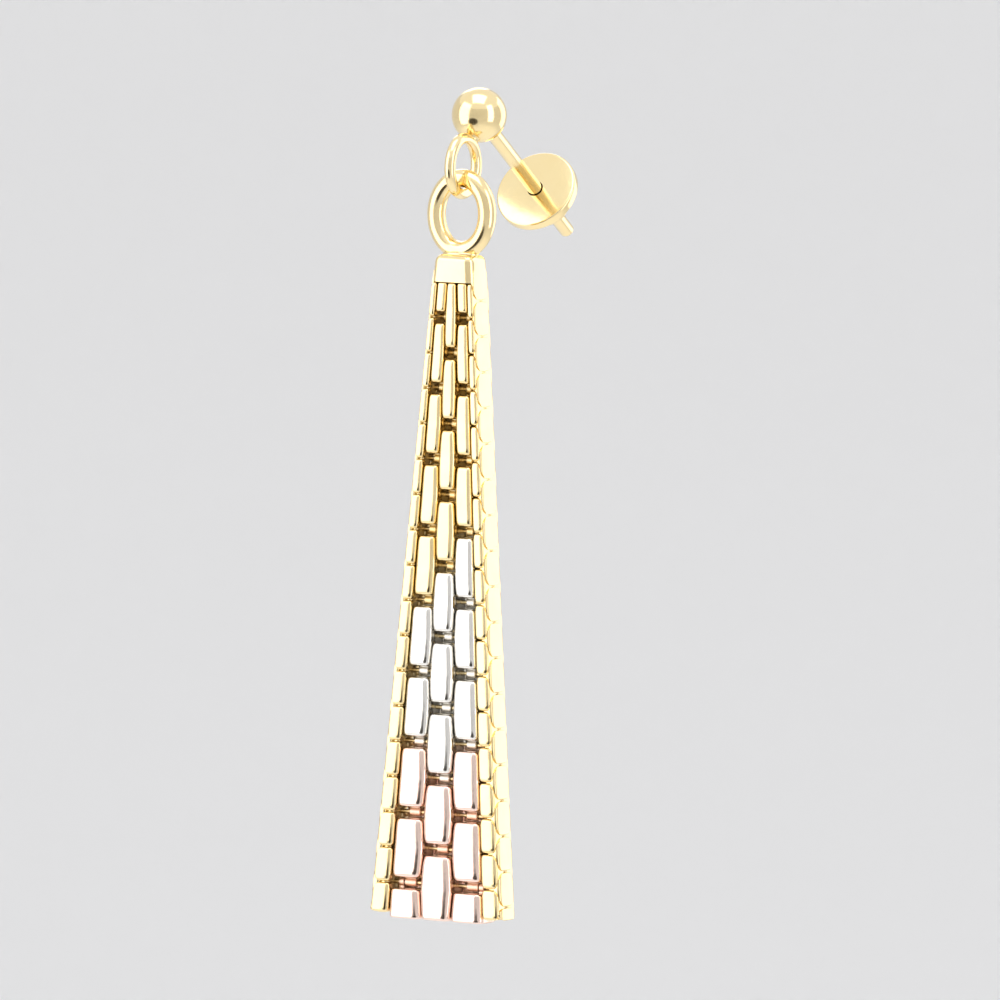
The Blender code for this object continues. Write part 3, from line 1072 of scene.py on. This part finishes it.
@dataclass
class BrickField:
    """The domed brick links in three columns, with the knuckles that hang them on the pins.

    The depths are shares of the panel's thickness, the knuckles' lengths are shares of a brick's width, and
    the webs' shares are of the knuckle's and the bore's radius.
    """

    panel: Panel
    press: LinkPress
    columns: tuple[Column, ...] = (
        Column("left", -1, 5, 7, 1),
        Column("centre", 0, 4, 7, 0),
        Column("right", 1, 4, 7, 1),
    )
    centre_depth_share: float = 1.0
    side_depth_share: float = 0.93
    pin_diameter: float = PIN_DIAMETER
    pin_clearance: float = 0.04 * MM
    knuckle_wall: float = 0.10 * MM
    knuckle_clearance: float = 0.04 * MM
    knuckle_root: float = 0.45 * MM
    knuckle_share: float = 0.40
    side_knuckle_share: float = 0.18
    knuckle_rounding_share: float = 0.35
    knuckle_steps: int = 24
    web_rounding_steps: int = 2
    web_depth_share: float = 1.5
    web_start_share: float = 1.35
    end_roundness: float = 0.14
    crown_roundness: float = 0.20
    plate_share: float = 0.92
    plate_roundness: float = 0.14
    plate_section_roundness: float = 0.4

    def knuckle_radius(self) -> float:
        """Half the height of a knuckle round its pin."""
        return self.pin_diameter / 2 + self.pin_clearance + self.knuckle_wall

    def limits(self, column: Column) -> Callable[[float], tuple[float, float]]:
        """The left and right limits of a column's bricks.

        Args:
            column: the column.

        Returns:
            A function from a height to the two limits.
        """
        panel = self.panel

        def at(z: float) -> tuple[float, float]:
            """The limits at one height."""
            inner = panel.centre_limit(z)
            ends = [-inner, inner]
            if column.side:
                ends = sorted((column.side * inner, column.side * panel.edge_limit(z)))
            return ends[0] + panel.seam / 2, ends[1] - panel.seam / 2

        return at

    def knuckle(self, left: float, right: float, z: float, upward: int) -> bpy.types.Object:
        """A rounded eye round a pin, with the web that joins it to its brick.

        Args:
            left: where the eye starts.
            right: where it ends.
            z: the pin's height.
            upward: 1 where the brick is above the pin, and -1 where it is below.

        Returns:
            The eye and its web.
        """
        radius = self.knuckle_radius()
        bore = self.pin_diameter / 2 + self.pin_clearance
        soft = self.knuckle_wall * self.knuckle_rounding_share
        length = right - left
        profile = [(bore, 0), (radius - soft, 0), (radius, soft)]
        profile += [(radius, length - soft), (radius - soft, length), (bore, length)]
        place = along_axis(Vector((left, PIVOT.y, z)), Vector((1, 0, 0)))
        eye = turned("eye", profile, self.knuckle_steps, place)
        reach = self.knuckle_clearance + self.knuckle_root
        start = z + upward * bore * self.web_start_share
        end = z + upward * (radius + reach)
        bpy.ops.mesh.primitive_cube_add(size=1, location=((left + right) / 2, PIVOT.y, (start + end) / 2))
        web = bpy.context.object
        web.scale = (length, radius * self.web_depth_share, abs(end - start))
        settle(web)
        with editing(web):
            bpy.ops.mesh.select_all(action="SELECT")
            bpy.ops.mesh.bevel(offset=soft, segments=self.web_rounding_steps, affect="EDGES")
        return joined("knuckle", [eye, web])

    def back_plate(
        self, top: int, bottom: int, limits: Callable[[float], tuple[float, float]], depth: float
    ) -> bpy.types.Object:
        """The plate that closes a brick's back and meets its neighbours behind the pins.

        Args:
            top: the level of the brick's top.
            bottom: the level of its foot.
            limits: gives its left and right limits at a height.
            depth: half the brick's thickness.

        Returns:
            The plate.
        """
        panel = self.panel
        shape = LinkShape(
            top=panel.height(top) - panel.seam / 2,
            bottom=panel.height(bottom) + panel.seam * (2 if bottom == panel.levels else 0.5),
            limits=limits,
            front=PIVOT.y + self.knuckle_radius() + self.knuckle_clearance,
            back=PIVOT.y + depth * self.plate_share,
            top_roundness=self.plate_roundness,
            bottom_roundness=self.plate_roundness,
            section_roundness=self.plate_section_roundness,
        )
        return self.press.press("back_plate", shape, self.press.coarse_levels)

    def brick(self, column: Column, number: int, top: int, bottom: int) -> bpy.types.Object:
        """One domed brick with its knuckles.

        Args:
            column: its column.
            number: its place in the column, from 0 at the top.
            top: the level of its top.
            bottom: the level of its foot.

        Returns:
            The brick.
        """
        panel = self.panel
        gap = self.knuckle_radius() + self.knuckle_clearance
        is_first = top == 0
        is_last = bottom == panel.levels
        limits = self.limits(column)
        depth = panel.thickness * (self.side_depth_share if column.side else self.centre_depth_share) / 2
        shape = LinkShape(
            top=panel.height(top) - (panel.seam if is_first else gap),
            bottom=panel.height(bottom) + (0 if is_last else gap),
            limits=limits,
            front=PIVOT.y - depth,
            back=PIVOT.y + depth,
            top_roundness=self.end_roundness if is_first else self.crown_roundness,
            bottom_roundness=self.end_roundness if is_last else self.crown_roundness,
        )
        row = number + (0 if column.offset else 1)
        pieces = [self.press.press(f"link_{column.name}_{row}", shape, self.press.fine_levels)]
        pieces.append(self.back_plate(top, bottom, limits, depth))
        if not is_last:
            z = panel.height(bottom)
            left, right = limits(z)
            reach = (right - left) * self.knuckle_share / 2
            middle = (left + right) / 2
            pieces.append(self.knuckle(middle - reach, middle + reach, z, 1))
        elif bottom - top == 1:
            z = panel.height(top)
            left, right = limits(z)
            middle = (left + right) / 2
            near = (right - left) * self.knuckle_share / 2 + self.knuckle_clearance
            far = near + (right - left) * self.side_knuckle_share
            ends = sorted((middle + column.side * near, middle + column.side * far))
            pieces.append(self.knuckle(ends[0], ends[1], z, -1))
        link = joined(f"link_{column.name}_{row}", pieces)
        # Painted shade deep in the brick's seams, on its sides, knuckles and back plate
        mark_shade_and_dullness(link, lambda point: panel.depth_mark(point, depth))
        return link

    def build(self, finisher: Finisher) -> None:
        """Builds and dresses every brick.

        Args:
            finisher: dresses the pieces.
        """
        for column in self.columns:
            levels = sorted({0, *range(column.offset, self.panel.levels, 2), self.panel.levels})
            for number, (top, bottom) in enumerate(zip(levels, levels[1:])):
                link = self.brick(column, number, top, bottom)
                node = link.name.replace("link_", "brick_")
                finisher.dress(link, column.metal(number), "drop", [node])


@dataclass
class CrossPins:
    """The wires across the panel, on which the bricks hang.

    reach_share is how far the wires enter the edges. The domed ends rise by dome_share of the wire's radius.
    shade is the painted shade laid evenly on the pins, which lie deep in the seams.
    """

    panel: Panel
    diameter: float = PIN_DIAMETER
    reach_share: float = 0.5
    dome_share: float = 0.5
    crown_share: float = 0.7
    crown_rise_share: float = 0.3
    shade: float = 0.55
    steps: int = 16

    def build(self, finisher: Finisher) -> None:
        """Turns each pin with domed ends, and dresses it.

        Args:
            finisher: dresses the pieces.
        """
        radius = self.diameter / 2
        dome = radius * self.dome_share
        crown, rise = radius * self.crown_share, dome * self.crown_rise_share
        for level in range(1, self.panel.levels):
            z = self.panel.height(level)
            reach = self.panel.half_width(z) * (1 - self.panel.edge_share * self.reach_share)
            length = 2 * reach
            profile = [(0, 0), (crown, rise), (radius, dome)]
            profile += [(radius, length - dome), (crown, length - rise), (0, length)]
            place = along_axis(Vector((-reach, PIVOT.y, z)), Vector((1, 0, 0)))
            pin = turned(f"pin_wire_{level:02d}", profile, self.steps, place)
            # The pins are painted evenly in shade
            mark_shade_and_dullness(pin, lambda point: self.shade)
            finisher.dress(pin, Metal.YELLOW, "drop", [f"cross_pin_{level:02d}"])


# Studio


@dataclass(frozen=True)
class SoftBox:
    """One soft light, placed round the earring by angles in degrees, with its sizes in metres."""

    name: str
    azimuth: float
    elevation: float
    distance: float
    width: float
    height: float
    power: float
    tint: tuple[float, float, float] = (1.0, 1.0, 1.0)


@dataclass(frozen=True)
class Sweep:
    """The pale paper floor that rises to a wall all round."""

    radius: float = 1.15
    bend: float = 0.25
    height: float = 0.9
    below: float = 0.26
    steps: int = 96
    bend_points: int = 12
    colour: tuple[float, float, float] = (0.86, 0.855, 0.85)
    roughness: float = 0.85


@dataclass(frozen=True)
class Backdrop:
    """The low dark oval that the ball shows and the upright crowns don't.

    fade_start and fade_end are the shares of its diameter where it starts to fade and is gone.
    """

    azimuth: float = 0.0
    elevation: float = -22.0
    distance: float = 0.4
    width: float = 0.36
    height: float = 0.24
    steps: int = 48
    fade_start: float = 0.34
    fade_end: float = 0.5
    colour: tuple[float, float, float] = (0.05, 0.045, 0.04)
    roughness: float = 0.95


@dataclass
class Studio:
    """The floor, the soft boxes, the dark backdrop and the camera, set up round the earring.

    target is the earring's middle and low is the height of its foot.
    """

    target: Vector
    low: float
    azimuth: float = 28.0
    elevation: float = 4.0
    roll: float = 1.6
    distance: float = 0.80
    lens: float = 530.0
    clip_start: float = 0.005
    air_colour: tuple[float, float, float] = (0.85, 0.86, 0.88)
    air_strength: float = 1.15
    paper: Sweep = Sweep()
    cloth: Backdrop = Backdrop()
    boxes: tuple[SoftBox, ...] = (
        SoftBox("key_box", -40, 8, 0.36, 0.32, 0.54, 0.74),
        SoftBox("top_box", 20, 76, 0.36, 0.28, 0.28, 0.36),
        SoftBox("right_strip", 78, 12, 0.36, 0.16, 0.44, 0.34),
        SoftBox("rim_box", 150, 8, 0.38, 0.24, 0.44, 0.36),
        SoftBox("back_box", 214, 30, 0.46, 0.20, 0.20, 0.20),
    )

    def towards(self, azimuth: float, elevation: float) -> Vector:
        """A direction from the earring.

        Args:
            azimuth: the angle round it in degrees, where 0 is the front and 90 is +X.
            elevation: the angle above the horizon in degrees.

        Returns:
            The direction, of length 1.
        """
        turn = math.radians(azimuth)
        rise = math.radians(elevation)
        return Vector((math.sin(turn) * math.cos(rise), -math.cos(turn) * math.cos(rise), math.sin(rise)))

    def matte(
        self, name: str, colour: tuple[float, float, float], roughness: float
    ) -> bpy.types.Material:
        """A plain matte material.

        Args:
            name: its name.
            colour: its colour.
            roughness: its roughness.

        Returns:
            The material.
        """
        material = bpy.data.materials.new(name)
        material.use_nodes = True
        shader = material.node_tree.nodes["Principled BSDF"]
        shader.inputs["Base Color"].default_value = (*colour, 1)
        shader.inputs["Roughness"].default_value = roughness
        return material

    def sweep(self) -> None:
        """The pale floor, rising to a wall all round."""
        paper = self.paper
        inner = paper.radius - paper.bend
        profile = [(0, 0), (inner, 0)]
        profile += arc((inner, paper.bend), paper.bend, -80, 0, paper.bend_points)
        profile.append((paper.radius, paper.height))
        place = Matrix.Translation((self.target.x, self.target.y, self.low - paper.below))
        sweep = turned("studio_sweep", profile, paper.steps, place)
        smooth(sweep)
        sweep.data.materials.append(self.matte("sweep_paper", paper.colour, paper.roughness))

    def dark_cloth(self) -> None:
        """The low dark backdrop on the camera's side, which the ball shows and the upright crowns don't."""
        cloth = self.cloth
        direction = self.towards(cloth.azimuth, cloth.elevation)
        bpy.ops.mesh.primitive_circle_add(vertices=cloth.steps, radius=0.5, fill_type="NGON")
        oval = bpy.context.object
        oval.name = "dark_backdrop"
        oval.scale = (cloth.width, cloth.height, 1)
        oval.location = self.target + direction * cloth.distance
        oval.rotation_euler = direction.to_track_quat("Z", "Y").to_euler()
        felt = self.matte("backdrop_felt", cloth.colour, cloth.roughness)
        tree = felt.node_tree
        reach = tree.nodes.new("ShaderNodeVectorMath")
        reach.operation = "LENGTH"
        tree.links.new(tree.nodes.new("ShaderNodeTexCoord").outputs["Object"], reach.inputs[0])
        fade = tree.nodes.new("ShaderNodeMapRange")
        fade.interpolation_type = "SMOOTHSTEP"
        fade.inputs["From Min"].default_value = cloth.fade_end
        fade.inputs["From Max"].default_value = cloth.fade_start
        tree.links.new(reach.outputs["Value"], fade.inputs["Value"])
        tree.links.new(fade.outputs["Result"], tree.nodes["Principled BSDF"].inputs["Alpha"])
        oval.data.materials.append(felt)
        oval.visible_camera = False

    def light(self) -> None:
        """Hangs the soft boxes and sets the sky's even grey."""
        for box in self.boxes:
            lamp = bpy.data.lights.new(box.name, "AREA")
            lamp.shape = "RECTANGLE"
            lamp.size = box.width
            lamp.size_y = box.height
            lamp.energy = box.power
            lamp.color = box.tint
            direction = self.towards(box.azimuth, box.elevation)
            stand = bpy.data.objects.new(box.name, lamp)
            stand.location = self.target + direction * box.distance
            stand.rotation_euler = direction.to_track_quat("Z", "Y").to_euler()
            stand.visible_camera = False
            bpy.context.scene.collection.objects.link(stand)
        world = bpy.data.worlds.new("studio_air")
        world.use_nodes = True
        background = world.node_tree.nodes["Background"]
        background.inputs["Color"].default_value = (*self.air_colour, 1)
        background.inputs["Strength"].default_value = self.air_strength
        bpy.context.scene.world = world
        bpy.context.scene.view_settings.view_transform = "Standard"

    def camera(self) -> None:
        """Sets the camera at the photo's angle, with its slight roll."""
        data = bpy.data.cameras.new("camera")
        data.lens = self.lens
        data.clip_start = self.clip_start
        camera = bpy.data.objects.new("camera", data)
        direction = self.towards(self.azimuth, self.elevation)
        level = direction.to_track_quat("Z", "Y").to_matrix().to_4x4()
        tilt = Matrix.Rotation(math.radians(self.roll), 4, "Z")
        camera.matrix_world = Matrix.Translation(self.target + direction * self.distance) @ level @ tilt
        bpy.context.scene.collection.objects.link(camera)
        bpy.context.scene.camera = camera

    def build(self) -> None:
        """Sets up the floor, the backdrop, the lights and the camera."""
        self.sweep()
        self.dark_cloth()
        self.light()
        self.camera()


def main() -> None:
    """Builds the earring's sub-assemblies in order and sets up the studio."""
    logging.basicConfig(level=logging.INFO, format="%(message)s")
    finisher = Finisher()
    panel = Panel()
    press = LinkPress()
    BallStud().build(finisher)
    EarNut().build(finisher)
    DropFrame(panel, press).build(finisher)
    BrickField(panel, press).build(finisher)
    CrossPins(panel).build(finisher)
    press.clear()
    low, high = CAD_BOX
    Studio(target=(low + high) / 2, low=low.z).build()
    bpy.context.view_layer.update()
    log.info("%d pieces", finisher.count)


if __name__ == "__main__":
    main()
